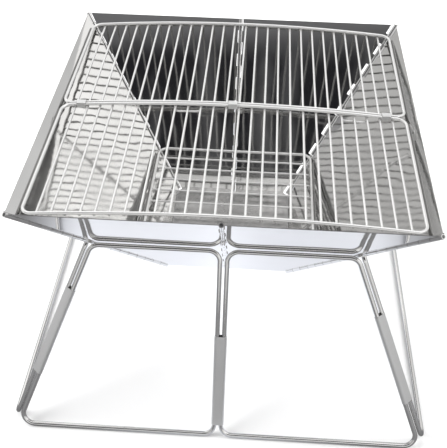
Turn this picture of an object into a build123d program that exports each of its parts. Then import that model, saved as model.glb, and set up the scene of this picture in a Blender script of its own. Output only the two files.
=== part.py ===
from build123d import *
import os
from math import atan, atan2, cos, degrees, radians, sin, sqrt, tan

# A folding camp grill, standing open. Six hinged sheet panels make a bowl like a pyramid upside
# down. Six wire loops, joined by sleeves, make the stand. A net of two halves lies near the rim,
# a charcoal grate and a loose bottom plate lie inside.
# Frame: millimetres, +Z up, +Y to the back, origin on the floor at the middle of the stand.

# Bowl, measured at the middle of the sheet
RIM_HALF = 225.0
RIM_Z = 330.0
BASE_HALF = 81.0
BASE_Z = 122.0
SHEET = 0.8

# Rolled hinges between the panels
KNUCKLE_R = 2.8
PIN_R = 1.9
PIN_PLAY = 0.05
PIN_RECESS = 4.0
NOTCH_PLAY = 0.8
OPEN_NOTCH_PLAY = 3.2
KNUCKLE_GAP = 0.6
CORNER_KNUCKLES = 17
CENTRE_KNUCKLES = 15

# Stand of bent wire
WIRE_R = 3.0
SEAT_Z = 232.0
FOOT_HALF = 261.5
LOOP_CORNER_R = 14.0
WIRE_SPACING = 8.4
SLEEVE_PLAY = 0.05
SLEEVE_WALL = 0.5
SLEEVE_LENGTH = 124.0
OPEN_SLEEVE_PLAY = 1.2
OPEN_SLEEVE_EXTRA = 1.5
LEFT_SLEEVE_DROP = 62.0
RIGHT_SLEEVE_DROP = 76.0
CENTRE_SLEEVE_RISE = 15.5
SEAT_PLAY = 0.8

# Cooking net
NET_DROP = 11.0
NET_WIRE_R = 2.0
NET_BAR_R = 1.4
NET_BARS = 26
NET_END_PLAY = 4.465
NET_CORNER_R = 12.0
NET_ARCH = 10.0
NET_MID_GAP = 0.6
NET_PLAY = 0.3
WELD = 0.2
CLIP_GAPS = (-12, 0, 12)
CLIP_SIDE_PLAY = 1.03
CLIP_PLAY = 0.6
CLIP_REACH = 0.7
BOW_R = 1.25
BOW_FIRST_BARS = (9, 22)
BOW_SPAN_BARS = 2
BOW_REACH = 6.5
BOW_TAIL = 13.0
BOW_DIP = 0.6
BOW_CORNER_R = 5.0

# Charcoal grate
GRATE_Z = 174.0
GRATE_WIRE_R = 2.0
GRATE_ROD_R = 1.4
GRATE_RODS = 8
GRATE_CORNER_R = 13.0
GRATE_HOOK = 6.0
GRATE_HOOK_R = 3.0
GRATE_KNUCKLE_PLAY = 0.5
STRIP_PLAY = 1.2
STRIP_HEIGHT = 17.0
STRIP_HALF_LENGTH = 92.0

# Bottom plate
PLATE_THICKNESS = 1.0
PLATE_RISE = 2.5
PLATE_PLAY = 0.8
PLATE_CORNER_CUT = 9.0
PLATE_NOTCH_WIDTH = 9.0
PLATE_NOTCH_DEPTH = 5.0

SIDE_TURNS = {"front": 0, "right": 90, "back": 180, "left": 270}


def side_plane(side, slope, apex_z, way):
    """The plane of one sloping side, with its origin at the apex where the hinge lines meet.

    X runs level and Y runs down the middle of the side, away from the apex: up for a bowl
    (way 1) or down for the stand (way -1).
    """
    front = Plane(origin=(0, 0, apex_z), x_dir=(1, 0, 0), z_dir=(0, -way * cos(slope), -sin(slope)))
    return front.rotated((0, 0, SIDE_TURNS[side]), ordering=Extrinsic.XYZ)


def line_point(plane, bearing, distance, offset=0.0):
    """A point at a distance along a hinge line, moved sideways within the side's plane."""
    x = distance * sin(bearing) + offset * cos(bearing)
    y = distance * cos(bearing) - offset * sin(bearing)
    return plane.from_local_coords((x, y, 0))


def line_direction(plane, bearing):
    """The direction of a hinge line, away from the apex."""
    return line_point(plane, bearing, 1.0) - plane.origin


def sweep_wire(path, radius):
    """Sweep a round wire along a path, into the current builder."""
    with BuildSketch(Plane(origin=path @ 0, z_dir=path % 0)) as section:
        Circle(radius)
    sweep(section.sketch, path=path)


# Shapes of the two pyramids, from the driving dimensions
bowl_slope = atan2(RIM_HALF - BASE_HALF, RIM_Z - BASE_Z)
bowl_apex_z = RIM_Z - RIM_HALF / tan(bowl_slope)
bowl_spread = atan(sin(bowl_slope))
base_slant = BASE_HALF / sin(bowl_slope)
rim_slant = RIM_HALF / sin(bowl_slope)


def bowl_half(z, inset=0.0):
    """Half the width of the bowl at a height, at a distance inside the middle of its sheet."""
    return (z - bowl_apex_z) * tan(bowl_slope) - inset / cos(bowl_slope)


seat_half = bowl_half(SEAT_Z, -(SHEET / 2 + SEAT_PLAY + WIRE_R))
stand_slope = atan2(FOOT_HALF - seat_half, SEAT_Z - WIRE_R)
stand_apex_z = SEAT_Z + seat_half / tan(stand_slope)
stand_spread = atan(sin(stand_slope))
seat_slant = seat_half / sin(stand_slope)
foot_slant = FOOT_HALF / sin(stand_slope)

bowl_planes = {side: side_plane(side, bowl_slope, bowl_apex_z, 1) for side in SIDE_TURNS}
stand_planes = {side: side_plane(side, stand_slope, stand_apex_z, -1) for side in SIDE_TURNS}

# The inside angle between two sides of the stand sets how far each wire stands from its corner line
stand_corner = radians(180 - stand_planes["front"].z_dir.get_angle(stand_planes["right"].z_dir))
corner_offset = WIRE_SPACING / 2 / sin(stand_corner / 2)
open_corner_offset = corner_offset + OPEN_SLEEVE_EXTRA
centre_offset = WIRE_SPACING / 2


# Each hinge line of a panel: bearing, knuckles, first one it owns, their bore radius, notch depth
def panel_edge(bearing, count, owner, notch_play=NOTCH_PLAY):
    """A hinge line as one panel sees it. The owner holds the pin tight, the other turns on it."""
    return bearing, count, 0 if owner else 1, PIN_R if owner else PIN_R + PIN_PLAY, KNUCKLE_R + notch_play


def knuckle_spans(bearing, count, first):
    """Start and end distances of every second knuckle along a hinge line."""
    start, end = base_slant / cos(bearing), rim_slant / cos(bearing)
    pitch = (end - start) / count
    return [
        (start + pitch * i + KNUCKLE_GAP / 2, start + pitch * (i + 1) - KNUCKLE_GAP / 2)
        for i in range(first, count, 2)
    ]


def bowl_panel(side, low_edge, high_edge):
    """A sheet panel between two hinge lines, with tabs rolled into knuckles on both."""
    plane = bowl_planes[side]
    with BuildPart() as panel:
        with BuildSketch(plane):
            outline = []
            for slant, edges in ((base_slant, (low_edge, high_edge)), (rim_slant, (high_edge, low_edge))):
                for edge in edges:
                    bearing, notch = edge[0], edge[4] if edge is low_edge else -edge[4]
                    outline.append((slant * tan(bearing) + notch / cos(bearing), slant))
            with BuildLine():
                Polyline(*outline, close=True)
            make_face()
            for edge in (low_edge, high_edge):
                bearing, count, first, bore, notch = edge
                reach = notch + SHEET if edge is low_edge else -notch - SHEET
                for start, end in knuckle_spans(bearing, count, first):
                    tab = [
                        (d * sin(bearing) + o * cos(bearing), d * cos(bearing) - o * sin(bearing))
                        for d, o in ((start, 0), (end, 0), (end, reach), (start, reach))
                    ]
                    with BuildLine():
                        Polyline(*tab, close=True)
                    make_face()
        extrude(amount=SHEET / 2, both=True)
        for bearing, count, first, bore, notch in (low_edge, high_edge):
            for start, end in knuckle_spans(bearing, count, first):
                with Locations(Plane(line_point(plane, bearing, start), z_dir=line_direction(plane, bearing))):
                    Cylinder(KNUCKLE_R, end - start, align=(Align.CENTER, Align.CENTER, Align.MIN))
        for bearing, count, first, bore, notch in (low_edge, high_edge):
            with Locations(Plane(line_point(plane, bearing, base_slant), z_dir=line_direction(plane, bearing))):
                Cylinder(bore, 2 * rim_slant, mode=Mode.SUBTRACT)
    return panel.part


def hinge_pin(side, bearing):
    """A pin through all the knuckles of one hinge line, a little short of both open ends."""
    plane = bowl_planes[side]
    start = base_slant / cos(bearing) + PIN_RECESS
    end = rim_slant / cos(bearing) - PIN_RECESS
    with BuildPart() as pin:
        with Locations(Plane(line_point(plane, bearing, start), z_dir=line_direction(plane, bearing))):
            Cylinder(PIN_R, end - start, align=(Align.CENTER, Align.CENTER, Align.MIN))
    return pin.part


def split_hinge_pin(side, bearing, count):
    """A pin in short lengths, one inside each knuckle that the side's panel owns."""
    plane = bowl_planes[side]
    spans = knuckle_spans(bearing, count, 0)
    last = len(spans) - 1
    with BuildPart() as pin:
        for i, (start, end) in enumerate(spans):
            start += PIN_RECESS if i == 0 else 0
            end -= PIN_RECESS if i == last else 0
            with Locations(Plane(line_point(plane, bearing, start), z_dir=line_direction(plane, bearing))):
                Cylinder(PIN_R, end - start, align=(Align.CENTER, Align.CENTER, Align.MIN))
    return pin.part


def stand_loop(side, low_line, high_line):
    """A closed wire loop between two hinge lines, each given as a bearing and an offset."""
    corners = []
    for slant, lines in ((seat_slant, (low_line, high_line)), (foot_slant, (high_line, low_line))):
        for bearing, offset in lines:
            corners.append((slant * tan(bearing) + offset / cos(bearing), slant))
    with BuildPart() as loop:
        with BuildLine(stand_planes[side]) as path:
            FilletPolyline(*corners, radius=LOOP_CORNER_R, close=True)
        sweep_wire(path.line, WIRE_R)
    return loop.part


def stand_sleeve(first, second, start, play, is_open=False):
    """A flat oval tube over two neighbouring wires, each given as side, bearing and offset.

    An open sleeve lets the second wire leave it sideways.
    """
    points = [
        line_point(stand_planes[side], bearing, start, offset) for side, bearing, offset in (first, second)
    ]
    direction = line_direction(stand_planes[first[0]], first[1])
    apart = points[1] - points[0]
    spacing = apart.length
    inner = 2 * (WIRE_R + play)
    with BuildPart() as sleeve:
        with BuildSketch(Plane(origin=(points[0] + points[1]) / 2, x_dir=apart, z_dir=direction)):
            SlotCenterToCenter(spacing, inner + 2 * SLEEVE_WALL)
            SlotCenterToCenter(spacing, inner, mode=Mode.SUBTRACT)
            if is_open:
                with Locations((spacing / 2, 0)):
                    Rectangle(spacing, 2 * inner, align=(Align.MIN, Align.CENTER), mode=Mode.SUBTRACT)
        extrude(amount=SLEEVE_LENGTH)
    return sleeve.part


# Net sizes that follow the bowl
net_z = RIM_Z - NET_DROP
net_half_x = bowl_half(net_z, SHEET / 2 + NET_PLAY + NET_WIRE_R)
net_half_y = bowl_half(net_z, SHEET / 2 + NET_WIRE_R) - NET_END_PLAY
net_mid_spacing = 2 * NET_WIRE_R + NET_MID_GAP
net_tilt = 2 * atan(NET_ARCH / (net_half_x + NET_CORNER_R))
net_arch_r = (net_half_x - NET_CORNER_R * cos(net_tilt)) / sin(net_tilt)
net_top_z = net_z + NET_ARCH
net_bar_pitch = 2 * net_half_x / (NET_BARS + 1)
net_bar_drop = NET_WIRE_R + NET_BAR_R - WELD


def net_height(x):
    """Height of the middle of the net's arched wires."""
    return net_top_z - net_arch_r + sqrt(net_arch_r**2 - x**2)


def net_bar_x(i):
    """Place of an inner bar, counted from 1 at the left."""
    return -net_half_x + net_bar_pitch * i


def net_frame(way):
    """The round-cornered frame wire of one net half, arched from side to side."""
    mid_y = way * net_mid_spacing / 2
    end_y = way * net_half_y
    half = cos(radians(45))

    def bend(x_way, side_y, y_way):
        """Where a corner leaves the side wire, its middle, and where it meets the cross wire."""
        leave = Vector(x_way * net_half_x, side_y, net_z)
        inward = Vector(-x_way * cos(net_tilt), 0, sin(net_tilt)) * NET_CORNER_R
        across = Vector(0, y_way * NET_CORNER_R, 0)
        return leave, leave + inward - inward * half + across * half, leave + inward + across

    with BuildPart() as frame:
        with BuildLine() as path:
            mid_left = bend(-1, mid_y + way * NET_CORNER_R, -way)
            end_left = bend(-1, end_y - way * NET_CORNER_R, way)
            end_right = bend(1, end_y - way * NET_CORNER_R, way)
            mid_right = bend(1, mid_y + way * NET_CORNER_R, -way)
            Line(mid_left[0], end_left[0])
            ThreePointArc(*end_left)
            ThreePointArc(end_left[2], (0, end_y, net_top_z), end_right[2])
            ThreePointArc(*reversed(end_right))
            Line(end_right[0], mid_right[0])
            ThreePointArc(*mid_right)
            ThreePointArc(mid_right[2], (0, mid_y, net_top_z), mid_left[2])
            ThreePointArc(*reversed(mid_left))
        sweep_wire(path.line, NET_WIRE_R)
    return frame.part


def net_bars(way):
    """The straight inner bars of one net half, welded under its two cross wires."""
    start_y, end_y = sorted((way * net_mid_spacing / 2, way * net_half_y))
    with BuildPart() as bars:
        for i in range(1, NET_BARS + 1):
            x = net_bar_x(i)
            with Locations(Plane((x, start_y, net_height(x) - net_bar_drop), z_dir=(0, 1, 0))):
                Cylinder(NET_BAR_R, end_y - start_y, align=(Align.CENTER, Align.CENTER, Align.MIN))
    return bars.part


def net_clips():
    """Sheet clips over the two mid wires, each between two bars and open at the back."""
    web_y = -net_mid_spacing / 2 - NET_WIRE_R + WELD / 2
    open_y = net_mid_spacing / 2 + CLIP_REACH
    slot_half = NET_WIRE_R + CLIP_PLAY
    width = net_bar_pitch - 2 * (NET_BAR_R + CLIP_SIDE_PLAY)
    with BuildPart() as clips:
        for gap in CLIP_GAPS:
            x = gap * net_bar_pitch
            z = net_height(x)
            with BuildSketch(Plane((x - width / 2, 0, z), x_dir=(0, 1, 0), z_dir=(1, 0, 0))):
                with BuildLine():
                    outer = slot_half + SHEET
                    Polyline(
                        (open_y, outer),
                        (web_y - SHEET, outer),
                        (web_y - SHEET, -outer),
                        (open_y, -outer),
                        (open_y, -slot_half),
                        (web_y, -slot_half),
                        (web_y, slot_half),
                        (open_y, slot_half),
                        close=True,
                    )
                make_face()
            extrude(amount=width)
    return clips.part


def net_bows():
    """U-bows under the back bars, which reach under the front half and stop the fold."""
    under_bar = net_bar_drop + NET_BAR_R + BOW_R - WELD / 2
    bow_tail_y = net_mid_spacing / 2 + BOW_TAIL
    bow_front_y = -net_mid_spacing / 2 - BOW_REACH
    with BuildPart() as bows:
        for first in BOW_FIRST_BARS:
            left, right = net_bar_x(first), net_bar_x(first + BOW_SPAN_BARS)
            left_z, right_z = net_height(left) - under_bar, net_height(right) - under_bar
            with BuildLine() as path:
                FilletPolyline(
                    (left, bow_tail_y, left_z),
                    (left, bow_front_y, left_z - BOW_DIP),
                    (right, bow_front_y, right_z - BOW_DIP),
                    (right, bow_tail_y, right_z),
                    radius=BOW_CORNER_R,
                )
            sweep_wire(path.line, BOW_R)
    return bows.part


# Grate sizes that follow the bowl: the side wires bear on the strips, the others clear the knuckles
strip_inset = SHEET / 2 + STRIP_PLAY + SHEET / 2
grate_half_x = bowl_half(GRATE_Z, strip_inset + SHEET / 2 + GRATE_WIRE_R - WELD / 2)
grate_half_y = bowl_half(GRATE_Z, KNUCKLE_R + GRATE_KNUCKLE_PLAY + GRATE_WIRE_R)


def grate_frame():
    """The grate's round-cornered frame wire."""
    x, y = grate_half_x, grate_half_y
    with BuildPart() as frame:
        with BuildLine(Plane.XY.offset(GRATE_Z)) as path:
            FilletPolyline((-x, -y), (x, -y), (x, y), (-x, y), radius=GRATE_CORNER_R, close=True)
        sweep_wire(path.line, GRATE_WIRE_R)
    return frame.part


def grate_rods():
    """Cross rods, hooked down inside the frame's side wires."""
    x = grate_half_x - GRATE_WIRE_R - GRATE_ROD_R + WELD / 2
    pitch = 2 * grate_half_y / (GRATE_RODS + 1)
    top = GRATE_Z + GRATE_ROD_R
    with BuildPart() as rods:
        for i in range(1, GRATE_RODS + 1):
            y = -grate_half_y + pitch * i
            with BuildLine() as path:
                FilletPolyline(
                    (-x, y, top - GRATE_HOOK),
                    (-x, y, top),
                    (x, y, top),
                    (x, y, top - GRATE_HOOK),
                    radius=GRATE_HOOK_R,
                )
            sweep_wire(path.line, GRATE_ROD_R)
    return rods.part


def grate_strips():
    """Polished strips along the grate's two sides, parallel to the bowl's side panels."""
    middle = (GRATE_Z - bowl_apex_z) / cos(bowl_slope)
    with BuildPart() as strips:
        for side in ("left", "right"):
            with BuildSketch(bowl_planes[side].offset(-strip_inset)):
                with Locations((0, middle)):
                    Rectangle(2 * STRIP_HALF_LENGTH, STRIP_HEIGHT)
            extrude(amount=SHEET / 2, both=True)
    return strips.part


def bottom_plate():
    """The loose plate that closes the small end, cut clear of the hinge knuckles."""
    z = BASE_Z + PLATE_RISE
    half = bowl_half(z, SHEET / 2) - PLATE_PLAY
    with BuildPart() as plate:
        with BuildSketch(Plane.XY.offset(z)):
            square = Rectangle(2 * half, 2 * half)
            chamfer(square.vertices(), PLATE_CORNER_CUT)
            with Locations((0, half), (0, -half)):
                Rectangle(PLATE_NOTCH_WIDTH, 2 * PLATE_NOTCH_DEPTH, mode=Mode.SUBTRACT)
        extrude(amount=PLATE_THICKNESS)
    return plate.part


pieces = {}

# Bowl panels. The left and right panels own the corner hinges, the left halves own the centre ones.
# The back right hinge has deeper notches and a split pin, so that it can come apart as it folds.
for side in ("left", "right"):
    back_right_play = OPEN_NOTCH_PLAY if side == "right" else NOTCH_PLAY
    pieces[f"bowl_panel_{side}"] = bowl_panel(
        side,
        panel_edge(-bowl_spread, CORNER_KNUCKLES, True),
        panel_edge(bowl_spread, CORNER_KNUCKLES, True, back_right_play),
    )
for name, side, own_centre, low_is_corner in (
    ("front_left", "front", True, True),
    ("front_right", "front", False, False),
    ("back_right", "back", False, True),
    ("back_left", "back", True, False),
):
    corner_play = OPEN_NOTCH_PLAY if name == "back_right" else NOTCH_PLAY
    corner_bearing = -bowl_spread if low_is_corner else bowl_spread
    corner = panel_edge(corner_bearing, CORNER_KNUCKLES, False, corner_play)
    centre = panel_edge(0.0, CENTRE_KNUCKLES, own_centre)
    edges = (corner, centre) if low_is_corner else (centre, corner)
    pieces[f"bowl_panel_{name}"] = bowl_panel(side, *edges)

# Hinge pins
pieces["hinge_pin_front_left"] = hinge_pin("left", bowl_spread)
pieces["hinge_pin_back_left"] = hinge_pin("left", -bowl_spread)
pieces["hinge_pin_front_right"] = hinge_pin("right", -bowl_spread)
pieces["hinge_pin_back_right"] = split_hinge_pin("right", bowl_spread, CORNER_KNUCKLES)
pieces["hinge_pin_front"] = hinge_pin("front", 0.0)
pieces["hinge_pin_back"] = hinge_pin("back", 0.0)

# Stand loops, each between two hinge lines of its side. In the stand's planes X also runs level.
left_corner = (-stand_spread, corner_offset)
right_corner = (stand_spread, -corner_offset)
open_corner = (-stand_spread, open_corner_offset)
left_centre = (0.0, centre_offset)
right_centre = (0.0, -centre_offset)
pieces["stand_loop_left"] = stand_loop("left", left_corner, right_corner)
pieces["stand_loop_right"] = stand_loop("right", left_corner, right_corner)
pieces["stand_loop_front_left"] = stand_loop("front", left_corner, right_centre)
pieces["stand_loop_front_right"] = stand_loop("front", left_centre, right_corner)
pieces["stand_loop_back_right"] = stand_loop("back", open_corner, right_centre)
pieces["stand_loop_back_left"] = stand_loop("back", left_centre, right_corner)

# Sleeves over neighbouring wires. The one at the back right corner is where the stand is opened.
corner_slant = seat_slant / cos(stand_spread)
left_start = corner_slant + LEFT_SLEEVE_DROP
right_start = corner_slant + RIGHT_SLEEVE_DROP
centre_start = foot_slant - CENTRE_SLEEVE_RISE - SLEEVE_LENGTH
for name, first, second, start in (
    ("front_left", ("left", *right_corner), ("front", *left_corner), left_start),
    ("front_right", ("front", *right_corner), ("right", *left_corner), right_start),
    ("back_left", ("back", *right_corner), ("left", *left_corner), left_start),
    ("front", ("front", *right_centre), ("front", *left_centre), centre_start),
    ("back", ("back", *right_centre), ("back", *left_centre), centre_start),
):
    pieces[f"stand_sleeve_{name}"] = stand_sleeve(first, second, start, SLEEVE_PLAY)
pieces["stand_sleeve_back_right"] = stand_sleeve(
    ("right", *right_corner), ("back", *open_corner), right_start, OPEN_SLEEVE_PLAY, is_open=True
)

# Net, grate and plate
pieces["net_front_frame"] = net_frame(-1)
pieces["net_front_bars"] = net_bars(-1)
pieces["net_back_frame"] = net_frame(1)
pieces["net_back_bars"] = net_bars(1)
pieces["net_clips"] = net_clips()
pieces["net_stop_bows"] = net_bows()
pieces["grate_frame"] = grate_frame()
pieces["grate_rods"] = grate_rods()
pieces["grate_side_strips"] = grate_strips()
pieces["bottom_plate"] = bottom_plate()

os.makedirs("parts", exist_ok=True)
for label, piece in pieces.items():
    piece.label = label
    export_step(piece, f"parts/{label}.step")

print("bowl hinge lines meet at z", round(bowl_apex_z, 4), "spread", round(degrees(bowl_spread), 4))
print("stand hinge lines meet at z", round(stand_apex_z, 4), "spread", round(degrees(stand_spread), 4))
print("stand inside corner", round(degrees(stand_corner), 3), "seat half", round(seat_half, 3))
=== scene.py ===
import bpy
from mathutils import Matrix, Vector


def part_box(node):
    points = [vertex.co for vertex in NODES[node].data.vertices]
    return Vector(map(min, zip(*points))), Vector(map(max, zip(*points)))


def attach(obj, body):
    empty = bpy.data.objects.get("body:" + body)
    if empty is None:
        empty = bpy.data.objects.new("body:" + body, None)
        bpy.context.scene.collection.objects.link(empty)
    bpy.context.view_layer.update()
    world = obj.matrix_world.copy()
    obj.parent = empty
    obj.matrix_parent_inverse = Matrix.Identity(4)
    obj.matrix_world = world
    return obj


bl_info = {
    "name": "Folding Camp Grill",
    "version": (1, 0, 0),
    "blender": (4, 5, 0),
    "location": "View3D > Sidebar > Grill",
    "description": "Finishes, welds and studio for a folding charcoal grill of polished sheet and wire",
    "category": "Object",
}

import math

import bpy
import numpy as np
from mathutils import Matrix, Vector

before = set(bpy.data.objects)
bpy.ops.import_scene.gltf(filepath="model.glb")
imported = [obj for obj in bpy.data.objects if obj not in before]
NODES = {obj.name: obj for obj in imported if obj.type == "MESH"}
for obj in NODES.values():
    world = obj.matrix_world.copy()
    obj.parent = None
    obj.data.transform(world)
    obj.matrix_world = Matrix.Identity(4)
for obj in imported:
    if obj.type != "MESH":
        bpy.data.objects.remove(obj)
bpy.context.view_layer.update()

# Radius of the net's frame wires
NET_FRAME_RADIUS = 0.002

# Half the width of the floor, and the dark card: its distance from the middle of the feet, half its
# width, its lower and upper edges, and the heights between which it turns grey
FLOOR_REACH = 6.0
CARD_DISTANCE = 2.3
CARD_HALF_WIDTH = 1.5
CARD_EDGES = (-0.75, 0.95)
CARD_FADE = (0.0, 0.25)

# Grey zones of the studio: where they lie, how wide the fall is, and what share of light is left
GREY_ZONES = (
    ((-0.62, -0.37, 0.69), 0.55, 0.85, 0.5),
    ((0.32, 0.78, 0.54), 0.75, 0.95, 0.62),
)

# Soft lights: name, place, width and height, watts
LIGHT_TARGET = (0, 0, 0.15)
LIGHTS = (
    ("left_softbox", (-2.2, -0.4, 1.9), (1.6, 1.6), 66),
    ("right_softbox", (2.3, 0.5, 1.8), (1.2, 1.2), 36),
    ("back_softbox", (0.2, 2.4, 1.6), (2.2, 1.0), 34),
)


# ---------------------------------------------------------------- settings


class GrillFinishSettings(bpy.types.PropertyGroup):
    sheet_color: bpy.props.FloatVectorProperty(
        name="Sheet color", description="Polished stainless sheet of the bowl",
        subtype="COLOR", size=3, min=0, max=1, default=(0.88, 0.875, 0.865),
    )
    wire_color: bpy.props.FloatVectorProperty(
        name="Wire color", description="Polished stainless wire of the stand",
        subtype="COLOR", size=3, min=0, max=1, default=(0.90, 0.895, 0.885),
    )
    thin_wire_color: bpy.props.FloatVectorProperty(
        name="Thin wire color", description="Polished stainless wire of the net and the grate",
        subtype="COLOR", size=3, min=0, max=1, default=(0.97, 0.965, 0.955),
    )
    sleeve_color: bpy.props.FloatVectorProperty(
        name="Sleeve color", description="Satin sheet of the sleeves and clips",
        subtype="COLOR", size=3, min=0, max=1, default=(0.80, 0.80, 0.795),
    )
    plate_color: bpy.props.FloatVectorProperty(
        name="Plate color", description="Satin sheet of the bottom plate",
        subtype="COLOR", size=3, min=0, max=1, default=(0.60, 0.595, 0.59),
    )
    mirrored_wire_shade: bpy.props.FloatProperty(
        name="Mirrored wire shade",
        description="Share of its brightness that a thin wire keeps in the sheet that mirrors it",
        min=0, max=1, default=0.38, subtype="FACTOR",
    )
    sheet_roughness: bpy.props.FloatProperty(
        name="Sheet roughness", description="Smoothest roughness of the polished sheet",
        min=0, max=1, default=0.035, subtype="FACTOR",
    )
    wave_height: bpy.props.FloatProperty(
        name="Sheet waviness", description="Height of the faint waves left in the rolled sheet",
        min=0, max=0.01, default=0.0008, subtype="DISTANCE", unit="LENGTH",
    )


class GrillWeldSettings(bpy.types.PropertyGroup):
    net_radius: bpy.props.FloatProperty(
        name="Net weld radius",
        description="Radius of the spot weld where a net bar meets a frame wire",
        min=0, max=0.01, default=0.0021, subtype="DISTANCE", unit="LENGTH",
    )
    grate_radius: bpy.props.FloatProperty(
        name="Grate weld radius", description="Radius of the spot weld where a grate rod meets its frame",
        min=0, max=0.01, default=0.0022, subtype="DISTANCE", unit="LENGTH",
    )
    flatness: bpy.props.FloatProperty(
        name="Weld flatness", description="Height of a weld as a share of its width",
        min=0.1, max=1, default=0.62, subtype="FACTOR",
    )


class GrillStageSettings(bpy.types.PropertyGroup):
    camera_place: bpy.props.FloatVectorProperty(
        name="Camera place", description="Where the camera stands, from the middle of the feet",
        subtype="XYZ", unit="LENGTH", size=3, default=(0.0317, -0.7955, 0.8497),
    )
    camera_pitch: bpy.props.FloatProperty(
        name="Camera pitch", description="Tilt of the camera up from straight down",
        subtype="ANGLE", default=math.radians(47.82),
    )
    camera_yaw: bpy.props.FloatProperty(
        name="Camera yaw", description="Turn of the camera about the vertical",
        subtype="ANGLE", default=math.radians(2.96),
    )
    camera_roll: bpy.props.FloatProperty(
        name="Camera roll", description="Turn of the camera about its own view axis",
        subtype="ANGLE", default=math.radians(0.9),
    )
    lens: bpy.props.FloatProperty(
        name="Lens", description="Focal length in millimetres on a 36 mm sensor",
        min=10, max=200, default=60.93,
    )
    floor_color: bpy.props.FloatVectorProperty(
        name="Floor color", description="Plain pale floor",
        subtype="COLOR", size=3, min=0, max=1, default=(0.95, 0.95, 0.95),
    )
    horizon_shade: bpy.props.FloatProperty(
        name="Horizon shade", description="Brightness of the studio near the floor line",
        min=0, max=4, default=0.74,
    )
    zenith_shade: bpy.props.FloatProperty(
        name="Overhead shade", description="Brightness of the studio overhead",
        min=0, max=4, default=1.2,
    )
    # Painted reflection: the grey that the floor shows to every ray but the camera's, so the metal
    # mirrors a grey floor
    painted_floor_reflection_color: bpy.props.FloatVectorProperty(
        name="Mirrored floor color",
        description="Grey of the floor round the grill as the metal mirrors it",
        subtype="COLOR", size=3, min=0, max=1, default=(0.16, 0.16, 0.165),
    )
    # Painted reflection: a pale pool of light under the bowl, shown to every ray but the camera's
    painted_pool_reflection_color: bpy.props.FloatVectorProperty(
        name="Mirrored pool color", description="Pale pool under the bowl as the metal mirrors it",
        subtype="COLOR", size=3, min=0, max=1, default=(0.80, 0.82, 0.88),
    )
    # Size of the painted pool of light under the bowl
    painted_pool_radius: bpy.props.FloatProperty(
        name="Pool radius", description="Radius of the pale pool under the bowl",
        min=0, max=2, default=0.27, subtype="DISTANCE", unit="LENGTH",
    )
    card_color: bpy.props.FloatVectorProperty(
        name="Dark card color",
        description="Dark card over the camera, which the bowl's back wall mirrors",
        subtype="COLOR", size=3, min=0, max=1, default=(0.014, 0.014, 0.017),
    )
    card_streak_color: bpy.props.FloatVectorProperty(
        name="Card streak color", description="Grey of the card's upright streaks and of its upper part",
        subtype="COLOR", size=3, min=0, max=1, default=(0.20, 0.20, 0.205),
    )


# ---------------------------------------------------------------- shader groups


def new_group(name, inputs, outputs):
    """An empty shader node group with float or colour sockets."""
    tree = bpy.data.node_groups.new(name, "ShaderNodeTree")
    for socket, kind, value in inputs:
        item = tree.interface.new_socket(name=socket, in_out="INPUT", socket_type=kind)
        item.default_value = value
    for socket, kind in outputs:
        tree.interface.new_socket(name=socket, in_out="OUTPUT", socket_type=kind)
    return tree, tree.nodes.new("NodeGroupInput"), tree.nodes.new("NodeGroupOutput")


def add(tree, kind, **settings):
    """A node with its properties and input values set by name."""
    node = tree.nodes.new(kind)
    for key, value in settings.items():
        if key in node.inputs:
            node.inputs[key].default_value = value
        else:
            setattr(node, key, value)
    return node


def map_range(tree, value, start, end, to=(0.0, 1.0), **settings):
    """A Map Range node that takes a value from one span to another."""
    node = add(tree, "ShaderNodeMapRange", **settings)
    for key, number in zip(("From Min", "From Max", "To Min", "To Max"), (start, end, *to)):
        node.inputs[key].default_value = number
    tree.links.new(value, node.inputs["Value"])
    return node


def handled_metal_group():
    """Polished metal that has been touched: slow changes of shade, smears and fine scratches."""
    tree, given, out = new_group(
        "handled_metal",
        (
            ("Tint", "NodeSocketColor", (0.8, 0.8, 0.8, 1)),
            ("Smear Scale", "NodeSocketFloat", 18.0),
            ("Roughness Low", "NodeSocketFloat", 0.04),
            ("Roughness High", "NodeSocketFloat", 0.12),
            ("Shade", "NodeSocketFloat", 0.92),
        ),
        (("Color", "NodeSocketColor"), ("Roughness", "NodeSocketFloat")),
    )
    link = tree.links.new
    place = tree.nodes.new("ShaderNodeTexCoord")
    smears = add(tree, "ShaderNodeTexNoise", Detail=5.0, Roughness=0.62, Distortion=0.6)
    link(place.outputs["Object"], smears.inputs["Vector"])
    link(given.outputs["Smear Scale"], smears.inputs["Scale"])
    spread = map_range(tree, smears.outputs["Fac"], 0.42, 0.68)
    link(given.outputs["Roughness Low"], spread.inputs["To Min"])
    link(given.outputs["Roughness High"], spread.inputs["To Max"])
    link(spread.outputs["Result"], out.inputs["Roughness"])
    cloud = add(tree, "ShaderNodeTexNoise", Scale=6.5, Detail=3.0)
    link(place.outputs["Object"], cloud.inputs["Vector"])
    darker = add(tree, "ShaderNodeMix", data_type="RGBA", blend_type="MULTIPLY")
    darker.inputs["Factor"].default_value = 1.0
    link(given.outputs["Tint"], darker.inputs[6])
    shade = map_range(tree, cloud.outputs["Fac"], 0.35, 0.65)
    link(given.outputs["Shade"], shade.inputs["To Min"])
    grey = tree.nodes.new("ShaderNodeCombineColor")
    for channel in ("Red", "Green", "Blue"):
        link(shade.outputs["Result"], grey.inputs[channel])
    link(grey.outputs["Color"], darker.inputs[7])
    link(darker.outputs[2], out.inputs["Color"])
    return tree


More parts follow.
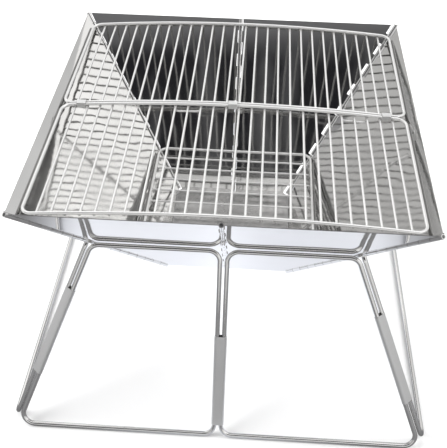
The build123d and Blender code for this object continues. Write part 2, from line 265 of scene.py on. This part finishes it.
def rolled_sheet_group():
    """Height of the slow waves that rolling and bending leave in thin sheet."""
    tree, given, out = new_group(
        "rolled_sheet",
        (("Wave Scale", "NodeSocketFloat", 9.0), ("Ripple Share", "NodeSocketFloat", 0.25)),
        (("Height", "NodeSocketFloat"),),
    )
    link = tree.links.new
    place = tree.nodes.new("ShaderNodeTexCoord")
    waves = add(tree, "ShaderNodeTexNoise", Detail=0.0)
    link(place.outputs["Object"], waves.inputs["Vector"])
    link(given.outputs["Wave Scale"], waves.inputs["Scale"])
    ripples = add(tree, "ShaderNodeTexNoise", Scale=38.0, Detail=0.0)
    link(place.outputs["Object"], ripples.inputs["Vector"])
    small = add(tree, "ShaderNodeMath", operation="MULTIPLY")
    link(ripples.outputs["Fac"], small.inputs[0])
    link(given.outputs["Ripple Share"], small.inputs[1])
    total = add(tree, "ShaderNodeMath", operation="ADD")
    link(waves.outputs["Fac"], total.inputs[0])
    link(small.outputs[0], total.inputs[1])
    link(total.outputs[0], out.inputs["Height"])
    return tree


def fine_lines_group():
    """Height of fine lines along one direction, as brushing or drawing leaves them."""
    tree, given, out = new_group(
        "fine_lines",
        (("Along", "NodeSocketVector", (1.0, 1.0, 0.02)), ("Line Scale", "NodeSocketFloat", 1800.0)),
        (("Height", "NodeSocketFloat"),),
    )
    link = tree.links.new
    place = tree.nodes.new("ShaderNodeTexCoord")
    stretch = tree.nodes.new("ShaderNodeVectorMath")
    stretch.operation = "MULTIPLY"
    link(place.outputs["Object"], stretch.inputs[0])
    link(given.outputs["Along"], stretch.inputs[1])
    lines = add(tree, "ShaderNodeTexNoise", Detail=2.0)
    link(stretch.outputs["Vector"], lines.inputs["Vector"])
    link(given.outputs["Line Scale"], lines.inputs["Scale"])
    link(lines.outputs["Fac"], out.inputs["Height"])
    return tree


def place_group(material, group, **values):
    """A copy of a shader group's node in a material, with its own values."""
    node = material.node_tree.nodes.new("ShaderNodeGroup")
    node.node_tree = group
    for key, value in values.items():
        node.inputs[key.replace("_", " ")].default_value = value
    return node


def metal_material(name, tint, roughness, relief, depth, smear, shade=0.93, metallic=1.0):
    """A metal whose colour, roughness and height vary over its surface.

    The roughness is its lowest and highest value, the relief a shader group and the group's values.
    """
    material = bpy.data.materials.new(name)
    material.use_nodes = True
    tree = material.node_tree
    shader = tree.nodes["Principled BSDF"]
    shader.inputs["Metallic"].default_value = metallic
    metal = place_group(
        material, bpy.data.node_groups["handled_metal"],
        Tint=(*tint, 1), Smear_Scale=smear, Roughness_Low=roughness[0], Roughness_High=roughness[1],
        Shade=shade,
    )
    tree.links.new(metal.outputs["Color"], shader.inputs["Base Color"])
    tree.links.new(metal.outputs["Roughness"], shader.inputs["Roughness"])
    group, values = relief
    surface = place_group(material, bpy.data.node_groups[group], **values)
    bump = tree.nodes.new("ShaderNodeBump")
    bump.inputs["Distance"].default_value = depth
    tree.links.new(surface.outputs["Height"], bump.inputs["Height"])
    tree.links.new(bump.outputs["Normal"], shader.inputs["Normal"])
    return material


def darken_in_mirrors(material, share):
    """Let a material look darker in the sheet that mirrors it than it does to the camera."""
    tree = material.node_tree
    base = tree.nodes["Principled BSDF"].inputs["Base Color"]
    source = base.links[0].from_socket
    rays = tree.nodes.new("ShaderNodeLightPath")
    dark = add(tree, "ShaderNodeMix", data_type="RGBA", blend_type="MULTIPLY")
    dark.inputs[7].default_value = (share, share, share, 1)
    tree.links.new(rays.outputs["Is Glossy Ray"], dark.inputs[0])
    tree.links.new(source, dark.inputs[6])
    tree.links.new(dark.outputs[2], base)


def dress(material, names):
    """Give CAD nodes a material."""
    for name in names:
        mesh = NODES[name].data
        mesh.materials.clear()
        mesh.materials.append(material)


def nodes_like(*starts):
    """CAD nodes whose names begin with one of the given words."""
    return [name for name in NODES if name.startswith(starts)]


class GRILL_OT_finishes(bpy.types.Operator):
    """Build the metal finishes and give them to the sheet, wire and sleeve pieces"""

    bl_idname = "grill.finishes"
    bl_label = "Metal Finishes"

    def execute(self, context):
        s = context.scene.grill_finish
        handled_metal_group()
        rolled_sheet_group()
        fine_lines_group()
        sheet = metal_material(
            "mirror_sheet", s.sheet_color, (s.sheet_roughness, s.sheet_roughness + 0.05),
            ("rolled_sheet", {"Wave_Scale": 9.0, "Ripple_Share": 0.12}), s.wave_height, smear=11.0,
        )
        wire = metal_material(
            "polished_wire", s.wire_color, (0.07, 0.16),
            ("fine_lines", {"Along": (1.0, 1.0, 0.3), "Line_Scale": 420.0}), 0.00002, smear=60.0,
        )
        thin_wire = metal_material(
            "polished_thin_wire", s.thin_wire_color, (0.10, 0.20),
            ("fine_lines", {"Along": (1.0, 0.1, 1.0), "Line_Scale": 500.0}), 0.00002, smear=80.0,
            metallic=0.7,
        )
        darken_in_mirrors(thin_wire, s.mirrored_wire_shade)
        sleeve = metal_material(
            "satin_sleeve", s.sleeve_color, (0.34, 0.46),
            ("fine_lines", {"Along": (1.0, 1.0, 0.06), "Line_Scale": 700.0}), 0.00001, smear=30.0,
            metallic=0.72,
        )
        plate = metal_material(
            "satin_plate", s.plate_color, (0.12, 0.30),
            ("fine_lines", {"Along": (0.03, 1.0, 1.0), "Line_Scale": 1200.0}), 0.00002, smear=25.0,
            shade=0.6,
        )
        pin = metal_material(
            "drawn_pin", (0.36, 0.36, 0.37), (0.35, 0.5),
            ("fine_lines", {"Along": (1.0, 1.0, 1.0), "Line_Scale": 900.0}), 0.00002, smear=90.0,
        )
        dress(sheet, nodes_like("bowl_panel", "grate_side_strips"))
        dress(wire, nodes_like("stand_loop"))
        dress(thin_wire, nodes_like("net_front_frame", "net_back_frame", "net_stop_bows"))
        dress(thin_wire, nodes_like("net_front_bars", "net_back_bars", "grate_frame", "grate_rods"))
        dress(sleeve, nodes_like("stand_sleeve", "net_clips"))
        dress(plate, nodes_like("bottom_plate"))
        dress(pin, nodes_like("hinge_pin"))
        metal_material(
            "weld_bead", (0.62, 0.61, 0.60), (0.22, 0.42),
            ("rolled_sheet", {"Wave_Scale": 600.0, "Ripple_Share": 0.5}), 0.0002, smear=300.0,
            shade=0.7,
        )
        return {"FINISHED"}


# ---------------------------------------------------------------- welds


def islands(name):
    """The lowest and highest corners of every loose solid of a CAD node."""
    mesh = NODES[name].data
    points = np.empty(len(mesh.vertices) * 3)
    mesh.vertices.foreach_get("co", points)
    points = points.reshape(-1, 3)
    keys, index = np.unique(np.round(points, 7), axis=0, return_inverse=True)
    index = index.reshape(-1)
    parent = np.arange(len(keys))

    def root(i):
        while parent[i] != i:
            parent[i] = parent[parent[i]]
            i = parent[i]
        return i

    for polygon in mesh.polygons:
        first, *rest = (index[v] for v in polygon.vertices)
        for v in rest:
            parent[root(v)] = root(first)
    groups = {}
    for i in range(len(keys)):
        groups.setdefault(root(i), []).append(keys[i])
    boxes = [(np.min(g, axis=0), np.max(g, axis=0)) for g in groups.values()]
    return sorted(boxes, key=lambda b: tuple(b[0]))


def weld_tree():
    """Geometry nodes that set one flattened bead on every point, turned and squeezed unevenly."""
    tree = bpy.data.node_groups.new("spot_welds", "GeometryNodeTree")
    tree.interface.new_socket(name="Geometry", in_out="INPUT", socket_type="NodeSocketGeometry")
    for name, value in (("Bead Radius", 0.002), ("Flatness", 0.6)):
        item = tree.interface.new_socket(name=name, in_out="INPUT", socket_type="NodeSocketFloat")
        item.default_value = value
    item = tree.interface.new_socket(name="Finish", in_out="INPUT", socket_type="NodeSocketMaterial")
    tree.interface.new_socket(name="Geometry", in_out="OUTPUT", socket_type="NodeSocketGeometry")
    link = tree.links.new
    given, out = tree.nodes.new("NodeGroupInput"), tree.nodes.new("NodeGroupOutput")
    bead = add(tree, "GeometryNodeMeshIcoSphere", Subdivisions=2)
    link(given.outputs["Bead Radius"], bead.inputs["Radius"])
    copies = tree.nodes.new("GeometryNodeInstanceOnPoints")
    link(given.outputs["Geometry"], copies.inputs["Points"])
    link(bead.outputs["Mesh"], copies.inputs["Instance"])
    turn = add(tree, "FunctionNodeRandomValue", data_type="FLOAT_VECTOR")
    turn.inputs["Max"].default_value = (0.0, 0.0, math.tau)
    turn.inputs["Seed"].default_value = 5
    link(turn.outputs["Value"], copies.inputs["Rotation"])
    uneven = add(tree, "FunctionNodeRandomValue", data_type="FLOAT_VECTOR")
    uneven.inputs["Min"].default_value = (0.85, 0.85, 0.9)
    uneven.inputs["Max"].default_value = (1.15, 1.15, 1.1)
    uneven.inputs["Seed"].default_value = 11
    flat = tree.nodes.new("ShaderNodeCombineXYZ")
    flat.inputs["X"].default_value = 1.0
    flat.inputs["Y"].default_value = 1.0
    link(given.outputs["Flatness"], flat.inputs["Z"])
    shape = tree.nodes.new("ShaderNodeVectorMath")
    shape.operation = "MULTIPLY"
    link(uneven.outputs["Value"], shape.inputs[0])
    link(flat.outputs["Vector"], shape.inputs[1])
    link(shape.outputs["Vector"], copies.inputs["Scale"])
    real = tree.nodes.new("GeometryNodeRealizeInstances")
    smooth = tree.nodes.new("GeometryNodeSetShadeSmooth")
    finish = tree.nodes.new("GeometryNodeSetMaterial")
    link(copies.outputs["Instances"], real.inputs["Geometry"])
    link(real.outputs["Geometry"], smooth.inputs["Geometry"])
    link(smooth.outputs["Geometry"], finish.inputs["Geometry"])
    link(given.outputs["Finish"], finish.inputs["Material"])
    link(finish.outputs["Geometry"], out.inputs["Geometry"])
    return tree


def weld_piece(name, points, radius, flatness, body):
    """One mesh of spot welds on the given points, which moves with a body."""
    seeds = bpy.data.meshes.new(name + "_points")
    seeds.from_pydata([tuple(p) for p in points], [], [])
    maker = bpy.data.objects.new(name + "_maker", seeds)
    bpy.context.scene.collection.objects.link(maker)
    tree = bpy.data.node_groups.get("spot_welds") or weld_tree()
    modifier = maker.modifiers.new("welds", "NODES")
    modifier.node_group = tree
    values = {
        "Bead Radius": radius,
        "Flatness": flatness,
        "Finish": bpy.data.materials["weld_bead"],
    }
    for item in tree.interface.items_tree:
        if item.in_out == "INPUT" and item.name in values:
            modifier[item.identifier] = values[item.name]
    shown = maker.evaluated_get(bpy.context.evaluated_depsgraph_get())
    mesh = bpy.data.meshes.new_from_object(shown)
    mesh.name = name
    piece = bpy.data.objects.new(name, mesh)
    bpy.context.scene.collection.objects.link(piece)
    bpy.data.objects.remove(maker)
    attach(piece, body)
    return piece


def bar_ends(name, frame_name):
    """Where the two ends of every net bar meet the underside of the frame's cross wires."""
    low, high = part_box(frame_name)
    crossings = (low.y + NET_FRAME_RADIUS, high.y - NET_FRAME_RADIUS)
    return [((a[0] + b[0]) / 2, y, b[2]) for a, b in islands(name) for y in crossings]


class GRILL_OT_welds(bpy.types.Operator):
    """Set the spot welds that hold the net bars and the grate rods to their frames"""

    bl_idname = "grill.welds"
    bl_label = "Spot Welds"

    def execute(self, context):
        s = context.scene.grill_weld
        for half in ("front", "back"):
            points = bar_ends(f"net_{half}_bars", f"net_{half}_frame")
            weld_piece(f"net_{half}_welds", points, s.net_radius, s.flatness, f"net_{half}")
        low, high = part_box("grate_frame")
        height = (low.z + high.z) / 2
        points = []
        for a, b in islands("grate_rods"):
            for x in (a[0], b[0]):
                points.append((x, (a[1] + b[1]) / 2, height))
        weld_piece("grate_welds", points, s.grate_radius, s.flatness, "grate")
        return {"FINISHED"}


# ---------------------------------------------------------------- stage


def plain_material(name, color, roughness):
    """A matt material for the floor and the card."""
    material = bpy.data.materials.new(name)
    material.use_nodes = True
    shader = material.node_tree.nodes["Principled BSDF"]
    shader.inputs["Base Color"].default_value = (*color, 1)
    shader.inputs["Roughness"].default_value = roughness
    return material


def stage_plane(name, corners, material):
    """A flat four-cornered piece of the stage."""
    mesh = bpy.data.meshes.new(name)
    mesh.from_pydata(corners, [], [range(len(corners))])
    mesh.materials.append(material)
    plane = bpy.data.objects.new(name, mesh)
    bpy.context.scene.collection.objects.link(plane)
    return plane


def floor_material(s):
    """Pale floor as the camera sees it. For every other ray its colour is painted grey with a painted
    pale pool of light under the bowl, a painted reflection, so that bright wires keep dark edges.
    """
    material = plain_material("pale_floor", s.floor_color, 0.6)
    tree = material.node_tree
    place = tree.nodes.new("ShaderNodeTexCoord")
    length = add(tree, "ShaderNodeVectorMath", operation="LENGTH")
    tree.links.new(place.outputs["Object"], length.inputs[0])
    edge = (s.painted_pool_radius * 0.8, s.painted_pool_radius * 1.25)
    fall = map_range(tree, length.outputs["Value"], *edge, interpolation_type="SMOOTHSTEP")
    # Painted reflection: grey floor with a painted pale pool of light under the bowl
    painted_reflection = add(tree, "ShaderNodeMix", data_type="RGBA")
    painted_reflection.inputs[6].default_value = (*s.painted_pool_reflection_color, 1)
    painted_reflection.inputs[7].default_value = (*s.painted_floor_reflection_color, 1)
    tree.links.new(fall.outputs["Result"], painted_reflection.inputs[0])
    # The camera sees the plain pale floor; every other ray sees the painted grey and pool
    rays = tree.nodes.new("ShaderNodeLightPath")
    seen = add(tree, "ShaderNodeMix", data_type="RGBA")
    seen.inputs[7].default_value = (*s.floor_color, 1)
    tree.links.new(rays.outputs["Is Camera Ray"], seen.inputs[0])
    tree.links.new(painted_reflection.outputs[2], seen.inputs[6])
    tree.links.new(seen.outputs[2], tree.nodes["Principled BSDF"].inputs["Base Color"])
    return material


def card_material(s, up):
    """Dark card with grey upright streaks, which turns grey towards its top."""
    material = plain_material("dark_card", s.card_color, 0.9)
    tree = material.node_tree
    link = tree.links.new
    place = tree.nodes.new("ShaderNodeTexCoord")
    height = add(tree, "ShaderNodeVectorMath", operation="DOT_PRODUCT")
    height.inputs[1].default_value = up
    link(place.outputs["Object"], height.inputs[0])
    fade = map_range(tree, height.outputs["Value"], *CARD_FADE, interpolation_type="SMOOTHSTEP")
    narrow = add(tree, "ShaderNodeVectorMath", operation="MULTIPLY")
    narrow.inputs[1].default_value = (1.0, 0.08, 0.08)
    link(place.outputs["Object"], narrow.inputs[0])
    noise = add(tree, "ShaderNodeTexNoise", Scale=9.0, Detail=2.0)
    link(narrow.outputs["Vector"], noise.inputs["Vector"])
    streaks = map_range(tree, noise.outputs["Fac"], 0.5, 0.75)
    share = add(tree, "ShaderNodeMath", operation="MAXIMUM")
    link(fade.outputs["Result"], share.inputs[0])
    link(streaks.outputs["Result"], share.inputs[1])
    color = add(tree, "ShaderNodeMix", data_type="RGBA")
    color.inputs[6].default_value = (*s.card_color, 1)
    color.inputs[7].default_value = (*s.card_streak_color, 1)
    link(share.outputs[0], color.inputs[0])
    link(color.outputs[2], tree.nodes["Principled BSDF"].inputs["Base Color"])
    return material


def studio_world(horizon, zenith):
    """A pale studio, a little darker near the floor line, with grey zones."""
    world = bpy.data.worlds.new("soft_studio")
    world.use_nodes = True
    tree = world.node_tree
    way = tree.nodes.new("ShaderNodeTexCoord")
    height = tree.nodes.new("ShaderNodeSeparateXYZ")
    tree.links.new(way.outputs["Generated"], height.inputs[0])
    rise = map_range(
        tree, height.outputs["Z"], 0.05, 0.75, to=(horizon, zenith), interpolation_type="SMOOTHSTEP"
    )
    strength = rise.outputs["Result"]
    for zone, start, full, share in GREY_ZONES:
        near = add(tree, "ShaderNodeVectorMath", operation="DOT_PRODUCT")
        near.inputs[1].default_value = Vector(zone).normalized()
        tree.links.new(way.outputs["Generated"], near.inputs[0])
        fade = map_range(
            tree, near.outputs["Value"], start, full, to=(1.0, share), interpolation_type="SMOOTHSTEP"
        )
        both = add(tree, "ShaderNodeMath", operation="MULTIPLY")
        tree.links.new(strength, both.inputs[0])
        tree.links.new(fade.outputs["Result"], both.inputs[1])
        strength = both.outputs[0]
    tree.links.new(strength, tree.nodes["Background"].inputs["Strength"])
    tree.nodes["Background"].inputs["Color"].default_value = (1, 1, 1, 1)
    return world


def area_light(name, place, size, watts):
    """A soft rectangular light that looks at the grill, and that metal doesn't mirror."""
    light = bpy.data.lights.new(name, "AREA")
    light.shape = "RECTANGLE"
    light.size, light.size_y = size
    light.energy = watts
    lamp = bpy.data.objects.new(name, light)
    lamp.location = place
    lamp.rotation_euler = (Vector(LIGHT_TARGET) - Vector(place)).to_track_quat("-Z", "Y").to_euler()
    lamp.visible_glossy = False
    bpy.context.scene.collection.objects.link(lamp)
    return lamp


class GRILL_OT_stage(bpy.types.Operator):
    """Set the pale floor, the dark card over the camera, the soft lights and the camera"""

    bl_idname = "grill.stage"
    bl_label = "Studio Stage"

    def execute(self, context):
        scene = context.scene
        s = scene.grill_stage
        floor = floor_material(s)
        far = FLOOR_REACH
        stage_plane("floor", [(-far, -far, 0), (far, -far, 0), (far, far, 0), (-far, far, 0)], floor)
        # The card stands square to the way from the object to the camera, behind it
        way = Vector(s.camera_place).normalized()
        right = Vector((1, 0, 0))
        up = way.cross(right).normalized()
        low, high = CARD_EDGES
        corners = (
            (-CARD_HALF_WIDTH, low), (CARD_HALF_WIDTH, low),
            (CARD_HALF_WIDTH, high), (-CARD_HALF_WIDTH, high),
        )
        card = card_material(s, up)
        outline = [way * CARD_DISTANCE + right * x + up * z for x, z in corners]
        # Only the metal sees the card
        stage_plane("dark_card", outline, card).visible_camera = False
        scene.world = studio_world(s.horizon_shade, s.zenith_shade)
        for name, place, size, watts in LIGHTS:
            area_light(name, place, size, watts)
        scene.view_settings.view_transform = "Standard"
        lens = bpy.data.cameras.new("camera")
        lens.sensor_fit = "HORIZONTAL"
        lens.lens = s.lens
        camera = bpy.data.objects.new("camera", lens)
        camera.matrix_world = (
            Matrix.Translation(s.camera_place)
            @ Matrix.Rotation(s.camera_yaw, 4, "Z")
            @ Matrix.Rotation(s.camera_pitch, 4, "X")
            @ Matrix.Rotation(s.camera_roll, 4, "Z")
        )
        scene.collection.objects.link(camera)
        scene.camera = camera
        return {"FINISHED"}


class GRILL_PT_panel(bpy.types.Panel):
    """Sidebar panel that lists the grill's makers"""

    bl_label = "Folding Camp Grill"
    bl_idname = "GRILL_PT_panel"
    bl_space_type = "VIEW_3D"
    bl_region_type = "UI"
    bl_category = "Grill"

    def draw(self, context):
        layout = self.layout
        for operator in OPERATORS:
            layout.operator(operator.bl_idname)
        for settings in (context.scene.grill_finish, context.scene.grill_weld, context.scene.grill_stage):
            box = layout.box()
            for name in settings.__annotations__:
                box.prop(settings, name)


SETTINGS = {
    "grill_finish": GrillFinishSettings,
    "grill_weld": GrillWeldSettings,
    "grill_stage": GrillStageSettings,
}
OPERATORS = (GRILL_OT_finishes, GRILL_OT_welds, GRILL_OT_stage)


def register():
    for name, settings in SETTINGS.items():
        bpy.utils.register_class(settings)
        setattr(bpy.types.Scene, name, bpy.props.PointerProperty(type=settings))
    for cls in (*OPERATORS, GRILL_PT_panel):
        bpy.utils.register_class(cls)


def unregister():
    for cls in (GRILL_PT_panel, *reversed(OPERATORS)):
        bpy.utils.unregister_class(cls)
    for name, settings in SETTINGS.items():
        delattr(bpy.types.Scene, name)
        bpy.utils.unregister_class(settings)


def main():
    register()
    bpy.ops.grill.finishes()
    bpy.ops.grill.welds()
    bpy.ops.grill.stage()


if __name__ == "__main__":
    main()
